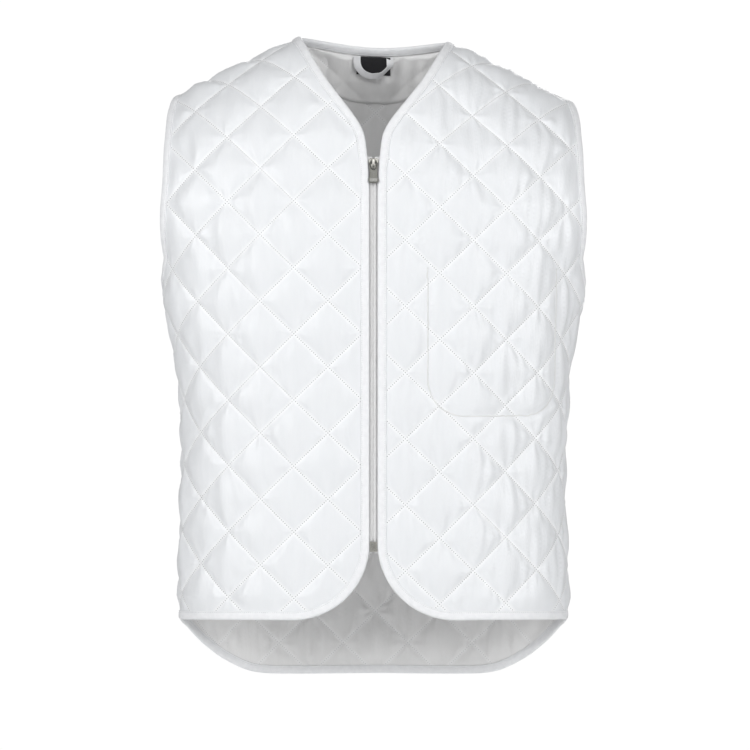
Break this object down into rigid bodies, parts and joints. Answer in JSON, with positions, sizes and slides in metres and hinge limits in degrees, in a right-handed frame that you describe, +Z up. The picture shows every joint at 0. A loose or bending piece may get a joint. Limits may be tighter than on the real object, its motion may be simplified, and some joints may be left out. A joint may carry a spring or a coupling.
{
  "type": "quilted thermal gilet",
  "caption": "Sleeveless quilted body warmer with a zip front, bound edges, V neck and longer rounded tail, held in its worn form.",
  "frame": {"origin": "midway between the shoulders, level with the middle of the shoulder seams, where the wearer or a form holds it up", "axes": "+X towards the wearer's left, -Y out of the front, +Z up"},
  "size_m": [0.5084, 0.2321, 0.7771],
  "materials": {
    "quilted_cloth": "white satin-like polyester, diamond quilted",
    "binding_tape": "white woven bias tape",
    "zip_tape": "white woven zip tape",
    "zip_coil": "white coil",
    "zip_metal": "dull grey cast metal",
    "puller_metal": "dull grey cast metal with a lighter panel",
    "lining_cloth": "white smooth cloth",
    "label_cloth": "black woven satin, bare",
    "loop_tape": "white narrow tape"
  },
  "bodies": {
    "gilet": {"front_right": "quilted_cloth", "front_left": "quilted_cloth", "back": "quilted_cloth", "edge_binding": "binding_tape", "armhole_binding_right": "binding_tape", "armhole_binding_left": "binding_tape", "zip_tape_right": "zip_tape", "zip_tape_left": "zip_tape", "zip_chain": "zip_coil", "zip_slider": "zip_metal", "zip_box": "zip_metal", "neck_facing": "lining_cloth", "neck_label": "label_cloth", "hanger_loop": "loop_tape", "inner_pocket": "lining_cloth"},
    "puller": {"zip_puller": "puller_metal"}
  },
  "joints": [
    {"name": "puller_swing", "type": "hinge", "parent": "gilet", "child": "puller", "pos_m": [0, -0.10905, -0.11511], "axis": [-1, 0, 0], "range_deg": [0, 150]}
  ]
}
